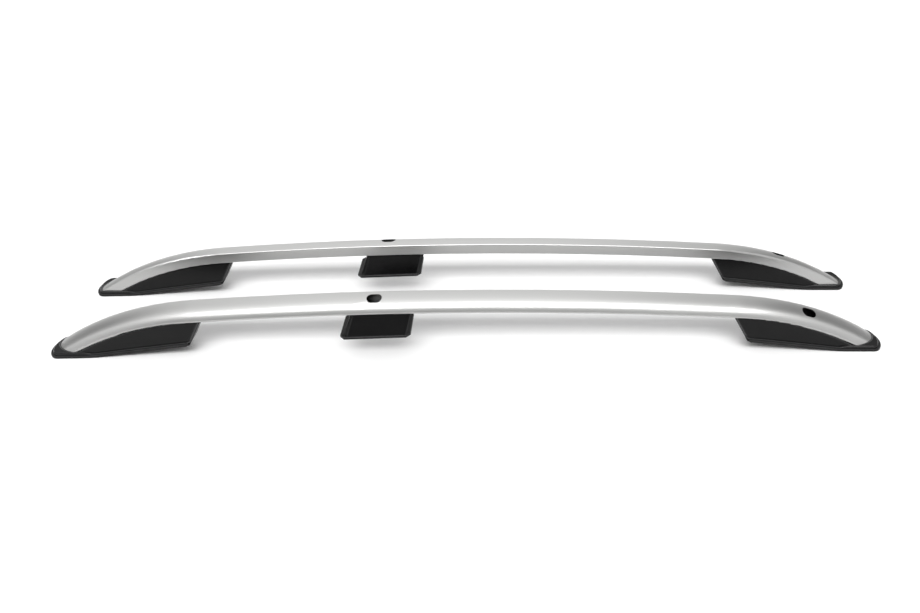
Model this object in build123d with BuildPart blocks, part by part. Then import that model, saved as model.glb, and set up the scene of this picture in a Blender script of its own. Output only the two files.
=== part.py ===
"""Pair of roof side rails for a car: arched aluminium tubes on moulded feet.

Millimetres. +X points to the front of the car, +Y to its left and +Z up. The pair stands on its four
end feet, with the floor at Z = 0 and the origin halfway between the rails. Every piece is modelled
once in the centre plane of a rail, with +Y to the outside of the car, and then placed on both sides.
"""
from build123d import *
import os
from math import acos, asin, atan2, cos, radians, sin, sqrt, tan

os.makedirs("parts", exist_ok=True)

# The pair
rail_length = 1700.0  # tip to tip, over the gaskets
rail_spacing = 210.0  # between the centre planes of the two rails
seat_gap = 0.2  # left between pieces that seat on each other

# Section of the rail tube: flat inner wall, and a crown that falls away to the outside
tube_width = 48.0
tube_inner_height = 23.5
tube_outer_height = 5.0
tube_crown_rise = 9.8
tube_wall = 2.0
shoulder_radius = 3.4
brow_radius = 3.0
inner_heel_radius = 2.4
outer_heel_radius = 4.0

# Bend of the tube, along its underside
tube_clearance = 102.0  # underside above the floor, at the middle
arch_radius = 7680.0
end_bend_radius = 585.0
tube_cut_height = 10.0  # the tube's ends are cut off level, this far above the floor
tube_end_setback = 63.3  # from the tip of the rail to the underside at the cut

# Roof line that the feet follow, with a level toe at each tip
roof_radius = 5150.0
toe_length = 69.0
toe_radius = 300.0

# Gaskets under the end feet
gasket_floor = 3.0
gasket_height = 5.5
gasket_bevel = 1.6
gasket_rim = 2.4  # how far a gasket stands out from the flange at the sides
gasket_toe = 7.0  # and at the tip
gasket_nose_ease = 8.0  # the tip's arc is this much larger than half the width
gasket_nose_flat = 13.0  # and the arcs beside it are this much smaller

# End feet
rear_foot_length = 295.0  # from the tip of the rail to the inner end, at the roof line
front_foot_length = 282.0
end_foot_rake = 31.5  # the inner end leans towards the middle of the rail, in degrees
nose_width = 56.0  # flange width where the nose starts to round
nose_tip_radius = 40.0
nose_side_radius = 13.0
side_taper = 0.8  # the sides draw in from the nose to the inner end, in degrees
flange_top = 8.0  # above the roof line
flange_step = 1.3  # from the edge of the flange to the wall above it
flange_bevel = 0.7
body_draft = 2.3
corner_chamfer = 5.0
lip_height = 12.0  # collar round the cut end of the tube
lip_chamfer = 2.4
lip_length = 72.0
foot_wall = 3.0
foot_roof = 3.0
rib_thickness = 2.5
rib_pitch = 44.0
rib_count = 4
first_rib = 130.0  # from the tip of the rail
core_setback = 86.0  # the hollow stops this far from the tip of the rail

# Middle foot
middle_foot_x = -176.0  # centre of the flange
middle_base_length = 140.0
middle_base_width = 78.0
middle_base_thickness = 5.0
middle_base_chamfer = 8.5
middle_body_length = 131.5  # at the flange
middle_body_width = 74.0
middle_body_shift = 3.0  # centre of the body from the centre of the flange
middle_top_length = 124.5  # under the tube
middle_top_width = 41.5
middle_body_rake = 15.3  # how far the top of the body leans forward
middle_corner_chamfer = 7.7  # at the flange
middle_top_chamfer = 5.8
middle_screw_offset = 4.0  # mounting screw from the centre of the flange
middle_rib_offset = 24.0  # from the mounting screw

# Mounting screws: bores in the middle and front feet, reached through holes in the crown
screw_bore = 6.6
sleeve_diameter = 11.0
boss_diameter = 18.0
front_screw_setback = 172.0  # from the tip of the rail
tube_bore = 7.0
access_length = 30.0
access_width = 20.0

# Screws that hold each foot to the tube, driven up from the hollow of the foot
fixing_diameter = 4.2
fixing_pilot = 4.3
fixing_clearance = 4.8
fixing_reach = 7.0  # past the underside of the tube
fixing_head_diameter = 8.0
fixing_head_height = 2.8
fixing_socket = 4.0
fixing_socket_depth = 1.6
fixing_seat_diameter = 9.0
fixing_seat_depth = 0.6
end_fixing_setbacks = (112.0, 238.0)  # from the tip of the rail
middle_fixing_offsets = (-30.0, 54.0)  # from the centre of the middle foot

# Worked out from the values above
half_length = rail_length / 2
centres_apart = arch_radius - end_bend_radius
cut_x = half_length - tube_end_setback
cut_rise = tube_cut_height - tube_clearance + arch_radius
cut_reach = sqrt(cut_x**2 + cut_rise**2)
cut_cosine = (centres_apart**2 + cut_reach**2 - end_bend_radius**2) / (2 * centres_apart * cut_reach)
bend_start_slope = atan2(cut_x, cut_rise) - acos(cut_cosine)
bend_start = arch_radius * sin(bend_start_slope)
bend_top = tube_clearance - arch_radius * (1 - cos(bend_start_slope))
bend_drop = bend_top - tube_cut_height + tube_inner_height + tube_crown_rise
bend_end_slope = acos(cos(bend_start_slope) - bend_drop / end_bend_radius)
toe_start = half_length - toe_length
roof_and_toe = roof_radius + toe_radius
roof_top = roof_and_toe - sqrt(roof_and_toe**2 - toe_start**2)
roof_centre = roof_top - roof_radius
roof_share = roof_radius / roof_and_toe
flange_tip = half_length - gasket_toe
front_screw_x = half_length - front_screw_setback
middle_screw_x = middle_foot_x + middle_screw_offset
span = 2 * rail_length  # longer than any piece
room = 160.0  # wider and taller than any foot


def arch_slope(x):
    """Slope of the tube's underside at x, falling towards +X, in radians."""
    if abs(x) <= bend_start:
        return asin(x / arch_radius)
    bend_centre = bend_start - end_bend_radius * sin(bend_start_slope)
    slope = asin((abs(x) - bend_centre) / end_bend_radius)
    return slope if x > 0 else -slope


def arch_height(x):
    """Height of the tube's underside at x."""
    slope = abs(arch_slope(x))
    if abs(x) <= bend_start:
        return tube_clearance - arch_radius * (1 - cos(slope))
    return bend_top - end_bend_radius * (cos(bend_start_slope) - cos(slope))


def bend_point(slope):
    """Point of the end bend where it has this slope, as (x, z)."""
    x = bend_start + end_bend_radius * (sin(slope) - sin(bend_start_slope))
    return x, arch_height(x)


def roof_height(x):
    """Height of the roof line's main arc at x."""
    return roof_centre + sqrt(roof_radius**2 - x**2)


def square_plane(x, z, slope):
    """Plane at (x, z) in the centre plane of the rail, square to a line with this slope."""
    return Plane(origin=(x, 0, z), x_dir=(cos(slope), 0, -sin(slope)), z_dir=(sin(slope), 0, cos(slope)))


def roof_plane(x):
    """Plane on the roof line, with its Z pointing up off the roof."""
    return square_plane(x, roof_height(x), asin(x / roof_radius))


def underside_plane(x):
    """Plane on the tube's underside, with its Z pointing into the tube."""
    return square_plane(x, arch_height(x), arch_slope(x))


def reach_to_tube(x):
    """Distance from the roof line at x to the tube's underside, square to the roof."""
    slope = asin(x / roof_radius)
    reach = arch_height(x) - roof_height(x)
    for _ in range(12):
        reach = (arch_height(x + reach * sin(slope)) - roof_height(x)) / cos(slope)
    return reach


def sleeve_length(x):
    """Length of a sleeve that stands on the roof at x and stops just short of the tube."""
    roof_slope = asin(x / roof_radius)
    tube_slope = arch_slope(x + reach_to_tube(x) * sin(roof_slope))
    return reach_to_tube(x) - tan(abs(tube_slope - roof_slope)) * sleeve_diameter / 2 - seat_gap


# Line of the tube's underside: an end bend, the long shallow arch and the other end bend
start_x, start_z = bend_point(bend_end_slope)
middle_x, middle_z = bend_point((bend_start_slope + bend_end_slope) / 2)
arch_end_z = arch_height(bend_start)
with BuildLine(Plane.XZ) as underside:
    ThreePointArc((-start_x, start_z), (-middle_x, middle_z), (-bend_start, arch_end_z))
    ThreePointArc((-bend_start, arch_end_z), (0, tube_clearance), (bend_start, arch_end_z))
    ThreePointArc((bend_start, arch_end_z), (middle_x, middle_z), (start_x, start_z))
tube_line = underside.wire()
tube_start = Plane(origin=tube_line @ 0, x_dir=(0, 1, 0), z_dir=tube_line % 0)


def tube_section():
    """Outline of the tube: X outwards from the centre plane, Y up from the underside."""
    half = tube_width / 2
    with BuildSketch() as section:
        with BuildLine():
            Line((half, 0), (-half, 0))
            Line((-half, 0), (-half, tube_inner_height))
            SagittaArc((-half, tube_inner_height), (half, tube_outer_height), tube_crown_rise)
            Line((half, tube_outer_height), (half, 0))
        make_face()
        fillet(section.vertices().sort_by(Axis.Y)[-1], shoulder_radius)
        fillet(section.vertices().group_by(Axis.Y)[0].sort_by(Axis.X)[-1], outer_heel_radius)
        fillet(section.vertices().group_by(Axis.Y)[0].sort_by(Axis.X)[0], inner_heel_radius)
        brow = section.vertices().filter_by(lambda v: abs(v.Y - tube_outer_height) < 0.001)
        fillet(brow, brow_radius)
    return section.sketch


def tube_envelope(growth):
    """The solid tube, made larger all round by this much."""
    with BuildPart() as envelope:
        with BuildSketch(tube_start):
            add(tube_section())
            offset(amount=growth, mode=Mode.REPLACE)
        sweep(path=tube_line)
        split(bisect_by=Plane.XY.offset(tube_cut_height))
    return envelope.part


def above_tube_line(drop):
    """All that lies above a line this far below the tube's underside."""
    with BuildPart() as upper:
        with BuildSketch(tube_start):
            with Locations((0, room / 2 - drop)):
                Rectangle(room, room)
        sweep(path=tube_line)
    return upper.part


def roof_band(low, high):
    """Band that follows the roof line, between two heights above it."""
    tangent_x = toe_start * roof_share
    tangent_z = roof_centre + (toe_radius - roof_centre) * roof_share
    toe_angle = atan2(toe_start, toe_radius - roof_centre) / 2
    toe_middle_x = toe_start - toe_radius * sin(toe_angle)
    toe_middle_z = toe_radius * (1 - cos(toe_angle))
    with BuildPart() as band:
        with BuildSketch(Plane.XZ):
            with BuildLine():
                for level in (low, high):
                    for end in (-1, 1):
                        toe = (end * toe_start, level)
                        tangent = (end * tangent_x, tangent_z + level)
                        Line((end * span / 2, level), toe)
                        ThreePointArc(toe, (end * toe_middle_x, toe_middle_z + level), tangent)
                    arch_ends = [(end * tangent_x, tangent_z + level) for end in (-1, 1)]
                    ThreePointArc(arch_ends[0], (0, roof_top + level), arch_ends[1])
                for end in (-1, 1):
                    Line((end * span / 2, low), (end * span / 2, high))
            make_face()
        extrude(amount=room / 2, both=True)
    return band.part


def behind_rake(foot_length, inset):
    """All that lies on the front foot's side of its raked inner end, moved in by this much."""
    lean = tan(radians(end_foot_rake))
    base_z = roof_height(half_length - foot_length)
    base_x = half_length - foot_length + inset / cos(radians(end_foot_rake))
    with BuildPart() as side:
        with BuildSketch(Plane.XZ):
            with BuildLine():
                low_x = base_x + (base_z + room) * lean
                high_x = base_x - (room - base_z) * lean
                Polyline((low_x, -room), (high_x, room), (span, room), (span, -room), close=True)
            make_face()
        extrude(amount=room / 2, both=True)
    return side.part


def nose_start(tip_x, nose_half, tip_radius, side_radius):
    """Where the nose of a plan outline starts to round, from the middle of the rail."""
    return tip_x - tip_radius + sqrt((tip_radius - side_radius) ** 2 - (nose_half - side_radius) ** 2)


def foot_outline(tip_x, nose_half, tip_radius, side_radius):
    """Plan of an end foot, from the middle of the rail: tapered sides and a nose of three arcs."""
    side_x = nose_start(tip_x, nose_half, tip_radius, side_radius)
    tip_centre = tip_x - tip_radius
    nose_rise = nose_half - side_radius
    join_angle = atan2(nose_rise, side_x - tip_centre)
    join = (tip_centre + tip_radius * cos(join_angle), tip_radius * sin(join_angle))
    mid_angle = (join_angle + radians(90)) / 2
    mid = (side_x + side_radius * cos(mid_angle), nose_rise + side_radius * sin(mid_angle))
    start_half = nose_half - side_x * tan(radians(side_taper))
    with BuildSketch() as outline:
        with BuildLine():
            for hand in (-1, 1):
                side_end = (side_x, hand * nose_half)
                Polyline((0, 0), (0, hand * start_half), side_end)
                ThreePointArc(side_end, (mid[0], hand * mid[1]), (join[0], hand * join[1]))
            ThreePointArc((join[0], -join[1]), (tip_x, 0), join)
        make_face()
    return outline.sketch


def flange_outline(growth):
    """Plan of an end foot's flange, made larger all round by this much."""
    nose_half = nose_width / 2 + growth
    return foot_outline(flange_tip + growth, nose_half, nose_tip_radius + growth, nose_side_radius + growth)


def gasket_outline():
    """Plan of an end gasket, which has a rounder nose than the flange in it."""
    nose_half = nose_width / 2 + gasket_rim
    return foot_outline(half_length, nose_half, nose_half + gasket_nose_ease, nose_half - gasket_nose_flat)


def upright(outline):
    """Tall prism on a plan outline."""
    with BuildPart() as prism:
        with BuildSketch(Plane.XY.offset(-room / 2)):
            add(outline)
        extrude(amount=2 * room)
    return prism.part


def raked_corners(block):
    """The two long edges where the sides of a block meet its raked inner end."""
    return block.edges().filter_by(lambda e: abs((e % 0.5).Z) > 0.7).group_by(Axis.X)[0]


def side_edges_on_top(block):
    """Edges along the sides and round the nose of a block's top, without those that run across it."""
    top_edges = block.faces().filter_by(lambda f: f.normal_at().Z > 0.9).edges()
    return top_edges.filter_by(lambda e: abs((e % 0.5).Y) < 0.999)


def raked_prism(outline, foot_length):
    """Tall prism on a plan outline, cut off along the raked inner end of a foot."""
    with BuildPart() as prism:
        add(upright(outline))
        add(behind_rake(foot_length, 0), mode=Mode.INTERSECT)
        chamfer(raked_corners(prism), corner_chamfer)
    return prism.part


def end_flange(foot_length):
    """Flange of the front foot, with the collar that the cut end of the tube sits in."""
    lip_x = half_length - lip_length
    with BuildPart() as collar:
        with BuildSketch(Plane.XZ):
            with BuildLine():
                Polyline(
                    (lip_x - lip_height * 2, gasket_floor),
                    (lip_x - lip_height * 2, flange_top),
                    (lip_x, lip_height),
                    (half_length, lip_height),
                    (half_length, gasket_floor),
                    close=True,
                )
            make_face()
        extrude(amount=room / 2, both=True)
        add(upright(flange_outline(0)), mode=Mode.INTERSECT)
        add(roof_band(gasket_floor, room), mode=Mode.INTERSECT)
        rim = collar.edges().filter_by(lambda e: e.center().Z > lip_height - 0.01)
        rim = rim.filter_by(lambda e: e.center().X > lip_x + 1)
        chamfer(rim, lip_chamfer)
    with BuildPart() as flange:
        add(raked_prism(flange_outline(0), foot_length))
        add(roof_band(gasket_floor, flange_top), mode=Mode.INTERSECT)
        chamfer(side_edges_on_top(flange), flange_bevel)
        add(collar.part)
        add(tube_envelope(seat_gap), mode=Mode.SUBTRACT)
    return flange.part


def body_half(x):
    """Half width of an end foot's wall at x, carried down to the floor by its draft."""
    side_x = nose_start(flange_tip, nose_width / 2, nose_tip_radius, nose_side_radius)
    flange_half = nose_width / 2 - (side_x - x) * tan(radians(side_taper))
    return flange_half - flange_step + (roof_height(x) + flange_top) * tan(radians(body_draft))


def end_block(foot_length, stop_x, inset):
    """Body of the front foot as a drafted block up to stop_x, its walls moved in by this much."""
    start_x = half_length - foot_length - room / 2
    start_half = body_half(start_x) - inset
    stop_half = body_half(stop_x) - inset
    with BuildPart() as block:
        with BuildSketch(Plane.XY.offset(-room / 4)):
            with BuildLine():
                Polyline(
                    (start_x, -start_half),
                    (stop_x, -stop_half),
                    (stop_x, stop_half),
                    (start_x, start_half),
                    close=True,
                )
            make_face()
        extrude(amount=room, taper=body_draft)
        add(behind_rake(foot_length, inset), mode=Mode.INTERSECT)
    return block.part


def fixing_seat(x):
    """Plane under the head of a fixing screw, with its Z pointing into the tube."""
    return underside_plane(x).offset(fixing_seat_depth - foot_roof - seat_gap)


def fixing_holes(positions):
    """Clearance holes and head seats for a foot's fixing screws."""
    with BuildPart() as holes:
        for x in positions:
            with BuildSketch(fixing_seat(x)):
                Circle(fixing_clearance / 2)
            extrude(amount=2 * foot_roof)
            with BuildSketch(fixing_seat(x)):
                Circle(fixing_seat_diameter / 2)
            extrude(amount=-2 * fixing_head_height)
    return holes.part


def fixing_screws(positions):
    """Socket-head tapping screws, one at each position."""
    shank_length = seat_gap + foot_roof - fixing_seat_depth + fixing_reach
    with BuildPart() as screws:
        for x in positions:
            seat = fixing_seat(x)
            with BuildSketch(seat):
                Circle(fixing_head_diameter / 2)
            extrude(amount=-fixing_head_height)
            with BuildSketch(seat):
                Circle(fixing_diameter / 2)
            extrude(amount=shank_length - fixing_diameter)
            with BuildSketch(seat.offset(shank_length - fixing_diameter)):
                Circle(fixing_diameter / 2)
            extrude(amount=fixing_diameter, taper=20)
            with BuildSketch(seat.offset(-fixing_head_height)):
                RegularPolygon(fixing_socket / 2, 6, major_radius=False)
            extrude(amount=fixing_socket_depth, mode=Mode.SUBTRACT)
    return screws.part


def screw_boss(x, core):
    """Boss round a mounting screw, filling the hollow of a foot from base to top."""
    with BuildPart() as boss:
        with BuildSketch(roof_plane(x)):
            Circle(boss_diameter / 2)
        extrude(amount=room / 2, both=True)
        add(core, mode=Mode.INTERSECT)
    return boss.part


def sleeve_hole(x, gap):
    """Hole for a sleeve, this much larger all round."""
    with BuildPart() as hole:
        with BuildSketch(roof_plane(x)):
            Circle(sleeve_diameter / 2 + gap)
        extrude(amount=room / 2, both=True)
    return hole.part


def sleeve(x):
    """Steel sleeve that takes the clamp load of a mounting screw."""
    with BuildPart() as tube:
        with BuildSketch(roof_plane(x)):
            Circle(sleeve_diameter / 2)
            Circle(screw_bore / 2, mode=Mode.SUBTRACT)
        extrude(amount=sleeve_length(x))
    return tube.part


def end_foot(foot_length, screw_positions):
    """Front foot as one moulding: drafted shell, flange with collar, ribs, and a boss for each screw."""
    with BuildPart() as core:
        add(end_block(foot_length, half_length - core_setback, foot_wall))
        add(above_tube_line(seat_gap + foot_roof), mode=Mode.SUBTRACT)
    with BuildPart() as inner:
        add(core.part)
        add(roof_band(gasket_floor, room), mode=Mode.INTERSECT)
    rib_places = [(half_length - first_rib - number * rib_pitch, 0) for number in range(rib_count)]
    with BuildPart() as ribs:
        with BuildSketch():
            with Locations(*rib_places):
                Rectangle(rib_thickness, room)
        extrude(amount=room)
        add(inner.part, mode=Mode.INTERSECT)
    with BuildPart() as foot:
        add(end_block(foot_length, half_length - nose_width, 0))
        chamfer(raked_corners(foot), corner_chamfer)
        add(roof_band(gasket_floor, room), mode=Mode.INTERSECT)
        add(above_tube_line(seat_gap), mode=Mode.SUBTRACT)
        add(end_flange(foot_length))
        add(core.part, mode=Mode.SUBTRACT)
        add(ribs.part)
        for x in screw_positions:
            add(screw_boss(x, inner.part))
            add(sleeve_hole(x, seat_gap / 2), mode=Mode.SUBTRACT)
        add(fixing_holes(end_fixings), mode=Mode.SUBTRACT)
    return foot.part


def end_gasket(foot_length, screw_positions):
    """Rubber tray under the front foot, with a bevelled upstand along its sides and round its nose."""
    with BuildPart() as pocket:
        add(upright(flange_outline(seat_gap)))
        add(roof_band(gasket_floor, room), mode=Mode.INTERSECT)
    with BuildPart() as gasket:
        add(raked_prism(gasket_outline(), foot_length))
        add(roof_band(0, gasket_height), mode=Mode.INTERSECT)
        chamfer(side_edges_on_top(gasket), gasket_bevel)
        add(pocket.part, mode=Mode.SUBTRACT)
        for x in screw_positions:
            add(sleeve_hole(x, seat_gap), mode=Mode.SUBTRACT)
    return gasket.part


def middle_section(level, inset):
    """Section of the middle foot's body at this height above its base, its walls moved in by inset."""
    share = (level - middle_base_thickness) / middle_rise
    length = middle_body_length + share * (middle_top_length - middle_body_length)
    width = middle_body_width + share * (middle_top_width - middle_body_width)
    corner = middle_corner_chamfer + share * (middle_top_chamfer - middle_corner_chamfer)
    with BuildSketch(middle_plane.offset(level)) as section:
        with Locations((middle_body_shift + share * middle_body_rake, 0)):
            Rectangle(length - 2 * inset, width - 2 * inset)
        chamfer(section.vertices(), corner)
    return section.sketch


def middle_block(low, inset):
    """Raked and flared block of the middle foot, from this height up past the tube's underside."""
    with BuildPart() as block:
        loft([middle_section(low, inset), middle_section(middle_base_thickness + 1.3 * middle_rise, inset)])
    return block.part


def middle_foot():
    """Middle foot as one moulding: raked shell on a flange, with ribs and a boss."""
    with BuildPart() as core:
        add(middle_block(-middle_base_thickness, foot_wall))
        add(above_tube_line(seat_gap + foot_roof), mode=Mode.SUBTRACT)
    with BuildPart() as inner:
        with BuildSketch(middle_plane):
            Rectangle(room, room)
        extrude(amount=room)
        add(core.part, mode=Mode.INTERSECT)
    with BuildPart() as ribs:
        with BuildSketch(middle_plane):
            for side in (-1, 1):
                with Locations((middle_screw_offset + side * middle_rib_offset, 0)):
                    Rectangle(rib_thickness, room)
        extrude(amount=room)
        add(core.part, mode=Mode.INTERSECT)
    with BuildPart() as foot:
        with BuildSketch(middle_plane) as base:
            Rectangle(middle_base_length, middle_base_width)
            chamfer(base.vertices(), middle_base_chamfer)
        extrude(amount=middle_base_thickness)
        chamfer(foot.faces().sort_by(Axis.Z)[-1].edges(), flange_bevel)
        add(middle_block(middle_base_thickness / 2, 0))
        add(above_tube_line(seat_gap), mode=Mode.SUBTRACT)
        add(core.part, mode=Mode.SUBTRACT)
        add(ribs.part)
        add(screw_boss(middle_screw_x, inner.part))
        add(sleeve_hole(middle_screw_x, seat_gap / 2), mode=Mode.SUBTRACT)
        add(fixing_holes(middle_fixings), mode=Mode.SUBTRACT)
    return foot.part


middle_plane = roof_plane(middle_foot_x)
middle_rise = reach_to_tube(middle_foot_x) - middle_base_thickness
middle_fixings = [middle_foot_x + shift for shift in middle_fixing_offsets]
end_fixings = [half_length - setback for setback in end_fixing_setbacks]
rear_fixings = [-x for x in end_fixings]

# Rail tube: bent extrusion, cut off level at both ends and drilled for all its screws
with BuildPart() as rail_tube:
    with BuildSketch(tube_start):
        add(tube_section())
        offset(amount=-tube_wall, mode=Mode.SUBTRACT)
    sweep(path=tube_line)
    split(bisect_by=Plane.XY.offset(tube_cut_height))
    for screw_x in (middle_screw_x, front_screw_x):
        with BuildSketch(roof_plane(screw_x)):
            Circle(tube_bore / 2)
        extrude(amount=reach_to_tube(screw_x) + tube_inner_height / 3, mode=Mode.SUBTRACT)
        with BuildSketch(roof_plane(screw_x).offset(reach_to_tube(screw_x) + tube_inner_height / 2)):
            SlotOverall(access_length, access_width)
        extrude(amount=room / 2, mode=Mode.SUBTRACT)
    for fixing_x in rear_fixings + middle_fixings + end_fixings:
        with BuildSketch(underside_plane(fixing_x)):
            Circle(fixing_pilot / 2)
        extrude(amount=2 * tube_wall, both=True, mode=Mode.SUBTRACT)

# Rear foot and gasket: like the front ones, turned end for end, without the mounting screw
with BuildPart() as rear_foot:
    mirror(end_foot(rear_foot_length, []), about=Plane.YZ)
with BuildPart() as rear_gasket:
    mirror(end_gasket(rear_foot_length, []), about=Plane.YZ)

pieces = {
    "rail_tube": rail_tube.part,
    "rear_foot": rear_foot.part,
    "middle_foot": middle_foot(),
    "front_foot": end_foot(front_foot_length, [front_screw_x]),
    "rear_gasket": rear_gasket.part,
    "front_gasket": end_gasket(front_foot_length, [front_screw_x]),
    "middle_sleeve": sleeve(middle_screw_x),
    "front_sleeve": sleeve(front_screw_x),
    "rear_foot_screws": fixing_screws(rear_fixings),
    "middle_foot_screws": fixing_screws(middle_fixings),
    "front_foot_screws": fixing_screws(end_fixings),
}

# Both rails: each piece moved out to the left, and mirrored to the right
for name, piece in pieces.items():
    with BuildPart() as left_piece:
        with Locations((0, rail_spacing / 2, 0)):
            add(piece)
    left_piece.part.label = f"left_{name}"
    export_step(left_piece.part, f"parts/left_{name}.step")
    with BuildPart() as right_piece:
        mirror(left_piece.part, about=Plane.XZ)
    right_piece.part.label = f"right_{name}"
    export_step(right_piece.part, f"parts/right_{name}.step")
    print(f"{name}: {piece.volume:.0f} cubic mm in {len(piece.solids())} solid(s)")
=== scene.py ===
# %% [markdown]
# A pair of roof rails for a car, dressed for its photograph.
#
# The rails come in as finished solids: two bent aluminium tubes, each on three moulded feet, with rubber
# gaskets under the end feet. Every piece stays where it was built, so this lesson is about finishes, light
# and the camera.

# %% Load the rails
from math import radians

import bmesh
import bpy
from mathutils import Matrix, Vector

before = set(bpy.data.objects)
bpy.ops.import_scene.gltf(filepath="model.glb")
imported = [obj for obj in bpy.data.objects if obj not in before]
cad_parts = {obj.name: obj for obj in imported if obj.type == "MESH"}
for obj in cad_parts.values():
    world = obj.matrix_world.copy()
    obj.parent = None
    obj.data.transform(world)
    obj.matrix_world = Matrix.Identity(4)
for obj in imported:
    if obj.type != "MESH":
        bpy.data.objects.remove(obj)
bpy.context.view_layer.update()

print("pieces:", len(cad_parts))

# %% [markdown]
# Materials are built from nodes. Each finish starts from a shader and from noise. The noise is read in
# Object coordinates, so the grain stays on the piece whichever way it is seen. Grain sizes are in metres on
# the real rail: a size of 0.002 gives grains of about two millimetres.

# %% A finish and its grain
def new_finish(name, shader_type="ShaderNodeBsdfPrincipled"):
    """A material with an empty node tree apart from its shader and output."""
    finish = bpy.data.materials.new(name)
    finish.use_nodes = True
    tree = finish.node_tree
    tree.nodes.clear()
    shader = tree.nodes.new(shader_type)
    output = tree.nodes.new("ShaderNodeOutputMaterial")
    tree.links.new(shader.outputs["BSDF"], output.inputs["Surface"])
    return finish, tree, shader


def grain(tree, size, detail, stretch=(1.0, 1.0, 1.0)):
    """Noise with grains of this size, stretched along the piece where asked."""
    place = tree.nodes.new("ShaderNodeTexCoord")
    mapping = tree.nodes.new("ShaderNodeMapping")
    noise = tree.nodes.new("ShaderNodeTexNoise")
    mapping.inputs["Scale"].default_value = stretch
    noise.inputs["Scale"].default_value = 1.0 / size
    noise.inputs["Detail"].default_value = detail
    tree.links.new(place.outputs["Object"], mapping.inputs["Vector"])
    tree.links.new(mapping.outputs["Vector"], noise.inputs["Vector"])
    return noise.outputs["Fac"]

# %% [markdown]
# Noise keeps to the middle of its range, from about a quarter to three quarters. The next helpers spread
# that stretch over what a finish needs: a range of numbers such as roughness, or the way from one colour to
# another. Others blend two colours by any share, and raise the noise into small bumps.

# %% Noise into numbers, colours and bumps
noise_low, noise_high = 0.25, 0.75
dark_below, light_above = 0.3, 0.7


def between(tree, value, low, high, start=noise_low, stop=noise_high):
    """A value that runs from start to stop, spread over another range."""
    spread = tree.nodes.new("ShaderNodeMapRange")
    spread.inputs["From Min"].default_value = start
    spread.inputs["From Max"].default_value = stop
    spread.inputs["To Min"].default_value = low
    spread.inputs["To Max"].default_value = high
    tree.links.new(value, spread.inputs["Value"])
    return spread.outputs["Result"]


def tint(tree, value, dark, light):
    """A colour between two others, chosen by the noise."""
    ramp = tree.nodes.new("ShaderNodeValToRGB")
    ramp.color_ramp.elements[0].position = dark_below
    ramp.color_ramp.elements[1].position = light_above
    ramp.color_ramp.elements[0].color = (*dark, 1.0)
    ramp.color_ramp.elements[1].color = (*light, 1.0)
    tree.links.new(value, ramp.inputs["Fac"])
    return ramp.outputs["Color"]


def blend(tree, share, first, second):
    """The first colour where the share is 0 and the second where it is 1."""
    mix = tree.nodes.new("ShaderNodeMix")
    mix.data_type = "RGBA"
    tree.links.new(share, mix.inputs["Factor"])
    for side, colour in (("A", first), ("B", second)):
        if isinstance(colour, tuple):
            mix.inputs[side].default_value = (*colour, 1.0)
        else:
            tree.links.new(colour, mix.inputs[side])
    return mix.outputs["Result"]


def relief(tree, shader, value, height, strength):
    """Small bumps on the surface, this high."""
    bump = tree.nodes.new("ShaderNodeBump")
    bump.inputs["Distance"].default_value = height
    bump.inputs["Strength"].default_value = strength
    tree.links.new(value, bump.inputs["Height"])
    tree.links.new(bump.outputs["Normal"], shader.inputs["Normal"])
    return bump

# %% [markdown]
# Painted shade and a painted highlight go where a piece's own faces come near each other. Ambient
# occlusion, measured on the piece alone, finds such places. Turned inwards it finds edges, because just
# inside a sharp edge the other face is near.

# %% Places where faces are near
occlusion_rays = 8


def open_space(tree, reach, inside=False):
    """How free a spot is of the piece's other faces within this reach, from 0 to 1."""
    probe = tree.nodes.new("ShaderNodeAmbientOcclusion")
    probe.samples = occlusion_rays
    probe.inside = inside
    probe.only_local = True
    probe.inputs["Distance"].default_value = reach
    return probe.outputs["AO"]

# %% [markdown]
# The tubes are aluminium with a satin silver coat: bright where they face the light, but with no sharp
# mirror images. The coat is a metal with a middling roughness. Faint lines along the tube, left by the die
# that the profile was pressed through, come from noise that is stretched a hundredfold along the rail.
#
# Inside, the tube's colour is darkened as painted shade. The enclosed bore has far less open space than the
# outside, so one material can paint that shade in the bore without any faces being picked out.

# %% Satin silver of the tubes
silver_light = (0.715, 0.715, 0.705)
silver_dark = (0.680, 0.680, 0.671)
silver_roughness = 0.28, 0.33
flake_size = 0.0006
die_line_width = 0.0025
die_line_height, die_line_strength = 0.00002, 0.25
along_the_rail = (0.01, 1.0, 1.0)
# Painted shade: the inside of the bore is darkened to this grey where the tube's own walls close round it.
painted_bore_shade = (0.26, 0.26, 0.26)
bore_shade_reach = 0.04
bore_shade_below, unshaded_above = 0.60, 0.92


def satin_silver():
    finish, tree, shader = new_finish("satin_silver")
    flakes = grain(tree, flake_size, detail=2.0)
    die_lines = grain(tree, die_line_width, detail=4.0, stretch=along_the_rail)
    # Painted shade in the bore, found by how little open space is left round a spot.
    unshaded = between(tree, open_space(tree, bore_shade_reach), 0.0, 1.0, bore_shade_below, unshaded_above)
    coat = tint(tree, flakes, silver_dark, silver_light)
    tree.links.new(blend(tree, unshaded, painted_bore_shade, coat), shader.inputs["Base Color"])
    tree.links.new(between(tree, die_lines, *silver_roughness), shader.inputs["Roughness"])
    shader.inputs["Metallic"].default_value = 1.0
    relief(tree, shader, die_lines, die_line_height, die_line_strength)
    return finish


finishes = {"tube": satin_silver()}
print("tubes:", finishes["tube"].name)

# %% [markdown]
# The feet are black moulded plastic with a fine spark-eroded grain, which breaks up the reflections. Moulded
# edges are never quite sharp, and a thin line of light runs along them. The Bevel node shades them round
# without another face in the mesh. The same edges are also painted a little paler, as a painted highlight
# along them.

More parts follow.
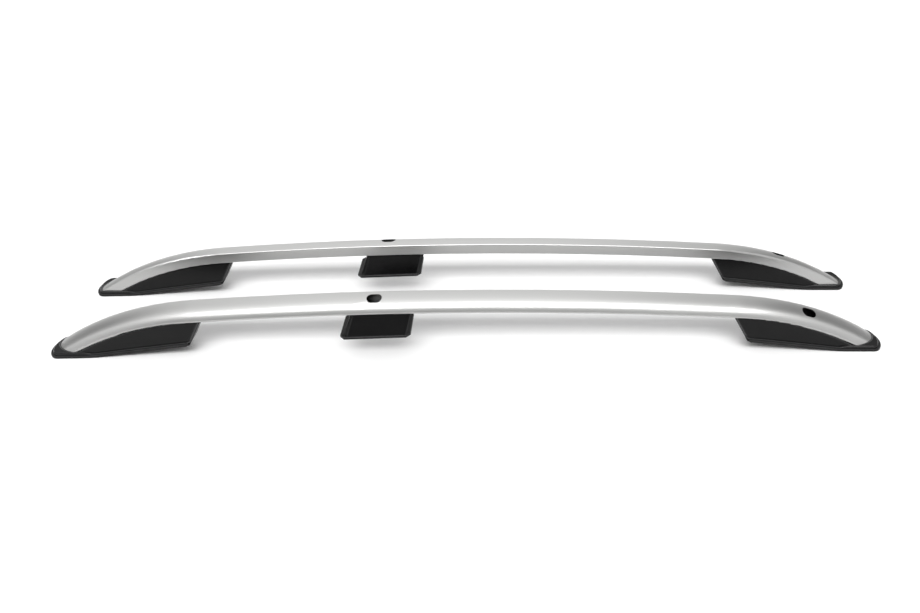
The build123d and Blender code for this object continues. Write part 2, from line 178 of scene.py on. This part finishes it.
# %% Black moulded plastic of the feet
black_dark = (0.0030, 0.0030, 0.0031)
black_light = (0.0050, 0.0050, 0.0052)
black_roughness = 0.15, 0.22
black_gloss = 0.28
cloud_size = 0.03
mould_grain = 0.0009
mould_height, mould_strength = 0.00005, 0.25
moulded_radius = 0.002
# Painted highlight: the moulded edges are painted this paler grey.
painted_edge_highlight = (0.070, 0.070, 0.071)
edge_highlight_width = 0.0022
edge_highlight_below, unhighlighted_above = 0.55, 0.95
edge_rays = 6


def soft_edges(tree, bump, radius):
    """Edges shaded as if they were rounded to this radius."""
    rounding = tree.nodes.new("ShaderNodeBevel")
    rounding.samples = edge_rays
    rounding.inputs["Radius"].default_value = radius
    tree.links.new(rounding.outputs["Normal"], bump.inputs["Normal"])


def moulded_black():
    finish, tree, shader = new_finish("moulded_black")
    mould = grain(tree, mould_grain, detail=3.0)
    clouds = grain(tree, cloud_size, detail=2.0)
    # Painted highlight along the edges, found where the piece is thin just inside a sharp edge.
    depth = open_space(tree, edge_highlight_width, inside=True)
    unhighlighted = between(tree, depth, 0.0, 1.0, edge_highlight_below, unhighlighted_above)
    plastic = tint(tree, clouds, black_dark, black_light)
    tree.links.new(blend(tree, unhighlighted, painted_edge_highlight, plastic), shader.inputs["Base Color"])
    tree.links.new(between(tree, mould, *black_roughness), shader.inputs["Roughness"])
    shader.inputs["Specular IOR Level"].default_value = black_gloss
    soft_edges(tree, relief(tree, shader, mould, mould_height, mould_strength), moulded_radius)
    return finish


finishes["foot"] = moulded_black()
print("feet:", finishes["foot"].name)

# %% [markdown]
# Rubber is duller and a little greyer than the plastic, with a powdery bloom.

# %% Black rubber of the gaskets
rubber_dark = (0.014, 0.014, 0.0144)
rubber_light = (0.024, 0.024, 0.0245)
rubber_roughness = 0.60, 0.75
rubber_gloss = 0.3
bloom_size = 0.02
powder_size = 0.0015
powder_height, powder_strength = 0.00008, 0.3
rubber_radius = 0.0005


def black_rubber():
    finish, tree, shader = new_finish("black_rubber")
    powder = grain(tree, powder_size, detail=5.0)
    bloom = grain(tree, bloom_size, detail=3.0)
    tree.links.new(tint(tree, bloom, rubber_dark, rubber_light), shader.inputs["Base Color"])
    tree.links.new(between(tree, powder, *rubber_roughness), shader.inputs["Roughness"])
    shader.inputs["Specular IOR Level"].default_value = rubber_gloss
    soft_edges(tree, relief(tree, shader, powder, powder_height, powder_strength), rubber_radius)
    return finish


finishes["gasket"] = black_rubber()
print("gaskets:", finishes["gasket"].name)

# %% [markdown]
# The sleeves and the small screws are zinc-plated steel, seen only from below and through the holes.

# %% Zinc-plated steel
zinc_dark = (0.50, 0.51, 0.52)
zinc_light = (0.62, 0.62, 0.61)
zinc_roughness = 0.26, 0.40
spangle_size = 0.002
spangle_height, spangle_strength = 0.00003, 0.2


def zinc_plate():
    finish, tree, shader = new_finish("zinc_plate")
    spangle = grain(tree, spangle_size, detail=2.0)
    tree.links.new(tint(tree, spangle, zinc_dark, zinc_light), shader.inputs["Base Color"])
    tree.links.new(between(tree, spangle, *zinc_roughness), shader.inputs["Roughness"])
    shader.inputs["Metallic"].default_value = 1.0
    relief(tree, shader, spangle, spangle_height, spangle_strength)
    return finish


finishes["sleeve"] = finishes["screws"] = zinc_plate()
print("sleeves and screws:", finishes["sleeve"].name)

# %% [markdown]
# The last word of a piece's name says what it is, and so what it is made of. One loop dresses all of them.

# %% Dress every piece
for name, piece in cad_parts.items():
    for slot in piece.material_slots:
        slot.material = finishes[name.split("_")[-1]]
print("dressed:", len(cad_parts), "pieces")

# %% [markdown]
# The rails stand on white paper, and the picture is white all round them. Rays that come straight from the
# camera see that white in full. The metal mirrors only a share of it, and otherwise shows the greyer paper
# and the room, so that the tubes keep their depth.

# %% What the camera and the metal see
mirrored_share = 0.2


def reckon(tree, operation, *values):
    """One Math node. Each value is a number or comes from another node."""
    step = tree.nodes.new("ShaderNodeMath")
    step.operation = operation
    for socket, value in zip(step.inputs, values):
        if isinstance(value, float):
            socket.default_value = value
        else:
            tree.links.new(value, socket)
    return step.outputs["Value"]


def seen_white(tree):
    """How much of the white a ray sees: all from the camera, a share in a reflection."""
    rays = tree.nodes.new("ShaderNodeLightPath").outputs
    mirrored = reckon(tree, "ADD", rays["Is Glossy Ray"], rays["Is Transmission Ray"])
    return reckon(tree, "MULTIPLY_ADD", mirrored, mirrored_share, rays["Is Camera Ray"])

# %% [markdown]
# The floor is a square sheet of matt paper. It is large enough to fill the picture, and small enough to be
# evenly lit up to its edges, which then don't show against the white behind. Its white comes from its
# colour, so the soft shadows of the rails still fall on it.

# %% White floor
floor_size = 7.0
paper_white = (0.97, 0.97, 0.97)
paper_grey = (0.55, 0.55, 0.55)


def white_paper():
    finish, tree, matt = new_finish("white_paper", "ShaderNodeBsdfDiffuse")
    tree.links.new(blend(tree, seen_white(tree), paper_grey, paper_white), matt.inputs["Color"])
    return finish


sheet = bmesh.new()
bmesh.ops.create_grid(sheet, x_segments=1, y_segments=1, size=floor_size / 2)
floor_mesh = bpy.data.meshes.new("floor")
sheet.to_mesh(floor_mesh)
sheet.free()
floor = bpy.data.objects.new("floor", floor_mesh)
floor.data.materials.append(white_paper())
bpy.context.scene.collection.objects.link(floor)
print("floor:", floor_size, "m square")

# %% [markdown]
# Studio light. Two banks of light hang in one place, far in front of the rails and high above the camera.
# The shorter one puts the bright band along the round side of the near tube, and lets it fade where the
# tube bends. The longer one is kept out of the reflections and only helps to throw the soft shadows
# backwards. At this distance they light the whole floor evenly.

# %% Banks of light
bank_lean = 34.0  # from straight up, towards the camera
bank_distance = 30.0
bank_height = 9.0
bank_aim = Vector((0.0, 0.0, 0.1))


def light_bank(name, length, watts, mirrored):
    lamp = bpy.data.lights.new(name, "AREA")
    lamp.shape = "RECTANGLE"
    lamp.size = length
    lamp.size_y = bank_height
    lamp.energy = watts
    bank = bpy.data.objects.new(name, lamp)
    bank.visible_glossy = mirrored
    away = Matrix.Rotation(radians(bank_lean), 3, "X") @ Vector((0.0, 0.0, 1.0))
    turn = away.to_track_quat("Z", "Y").to_matrix().to_4x4()
    bank.matrix_world = Matrix.Translation(bank_aim + bank_distance * away) @ turn
    bpy.context.scene.collection.objects.link(bank)
    print(name, "hangs at", [round(value, 2) for value in bank.matrix_world.translation])
    return bank


light_bank("key_bank", length=32.0, watts=3550.0, mirrored=True)
shadow_bank = light_bank("shadow_bank", length=72.0, watts=5900.0, mirrored=False)

# %% [markdown]
# In the picture the middle feet, which hang clear of the floor, throw hardly any shadow of their own. Light
# linking comes near to that: the second bank is blocked by every piece except those of the middle feet.

# %% Pieces that block the second bank
shadow_casters = bpy.data.collections.new("shadow_casters")
for name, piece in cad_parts.items():
    if "_middle_" not in name:
        shadow_casters.objects.link(piece)
shadow_bank.light_linking.blocker_collection = shadow_casters

# %% [markdown]
# The room gives the rest of the light, and the camera sees it as plain white. Its brightness changes with
# the lean of the direction, in degrees from straight up: pale at the back, brightest towards the banks of
# light, and dark low down in front, so that the lower half of a tube shades off to grey as satin metal
# does. The side walls are greyer, with one soft pale stripe, which the bent ends of the tubes show.

# %% Brightness of the room
back_to_front = (
    (-90.0, 0.73),
    (-65.0, 0.83),
    (-45.0, 0.85),
    (-25.0, 0.91),
    (0.0, 1.06),
    (15.0, 1.19),
    (38.0, 1.19),
    (48.0, 0.25),
    (60.0, 0.10),
    (90.0, 0.10),
)
side_walls = (
    (-90.0, 0.26),
    (-30.0, 0.10),
    (-5.0, 0.05),
    (12.0, 0.18),
    (28.0, 0.80),
    (42.0, 0.80),
    (58.0, 0.53),
    (90.0, 0.44),
)
level_lean = 90.0  # the lean of a level direction
room_peak = 2.0  # a ramp ends at 1, so levels are divided by this and the light is multiplied by it


def shades(tree, lean, levels):
    """Brightness by lean, from the back of the room to its front."""
    ramp = tree.nodes.new("ShaderNodeValToRGB")
    for _ in levels[2:]:
        ramp.color_ramp.elements.new(0.5)
    for element, (angle, level) in zip(ramp.color_ramp.elements, levels):
        element.position = (angle + level_lean) / (2 * level_lean)
        element.color = (level / room_peak, level / room_peak, level / room_peak, 1.0)
    tree.links.new(lean, ramp.inputs["Fac"])
    return ramp.outputs["Color"]


print("brightest part of the room:", max(level for angle, level in back_to_front))

# %% [markdown]
# A direction's lean is the angle between its Y and Z. How far it points to the side, past the middle of the
# room, chooses between the two rows of brightness.

# %% Room
room_middle = -0.12  # the pale middle of the room lies a little to the left
side_start, side_end = 0.25, 0.75


def studio_room():
    room = bpy.data.worlds.new("studio_room")
    room.use_nodes = True
    tree = room.node_tree
    background = tree.nodes["Background"]
    place = tree.nodes.new("ShaderNodeTexCoord")
    direction = tree.nodes.new("ShaderNodeSeparateXYZ")
    tree.links.new(place.outputs["Generated"], direction.inputs["Vector"])

    turn = reckon(tree, "ARCTAN2", direction.outputs["Y"], direction.outputs["Z"])
    lean = between(tree, turn, 0.0, 1.0, radians(level_lean), radians(-level_lean))
    off_middle = reckon(tree, "SUBTRACT", direction.outputs["X"], room_middle)
    sideways = reckon(tree, "ABSOLUTE", off_middle)
    side_share = between(tree, sideways, 0.0, 1.0, side_start, side_end)
    walls = blend(tree, side_share, shades(tree, lean, back_to_front), shades(tree, lean, side_walls))

    plain_white = (1.0 / room_peak, 1.0 / room_peak, 1.0 / room_peak)
    backdrop = blend(tree, seen_white(tree), walls, plain_white)
    tree.links.new(backdrop, background.inputs["Color"])
    background.inputs["Strength"].default_value = room_peak
    return room


bpy.context.scene.world = studio_room()
bpy.context.scene.view_settings.view_transform = "Standard"
print("world:", bpy.context.scene.world.name)

# %% [markdown]
# The camera stands in front of the pair, looks down at about 38 degrees and is rolled by half a degree. The
# picture was framed a little to one side, which a small shift of the lens repeats.

# %% Camera
camera_place = (0.1016, -1.2199, 0.9635)
camera_pitch = 37.75
camera_roll = -0.506
lens_mm = 27.93
sensor_mm = 36.0
sideways_shift = -0.0602
farthest_seen = 50.0

lens = bpy.data.cameras.new("camera")
lens.sensor_fit = "HORIZONTAL"
lens.sensor_width = sensor_mm
lens.lens = lens_mm
lens.shift_x = sideways_shift
lens.clip_end = farthest_seen
camera = bpy.data.objects.new("camera", lens)
look_down = Matrix.Rotation(radians(90.0 - camera_pitch), 4, "X")
roll = Matrix.Rotation(radians(camera_roll), 4, "Z")
camera.matrix_world = Matrix.Translation(camera_place) @ look_down @ roll
bpy.context.scene.collection.objects.link(camera)
bpy.context.scene.camera = camera
print("camera:", lens_mm, "mm, looking down", camera_pitch, "degrees")
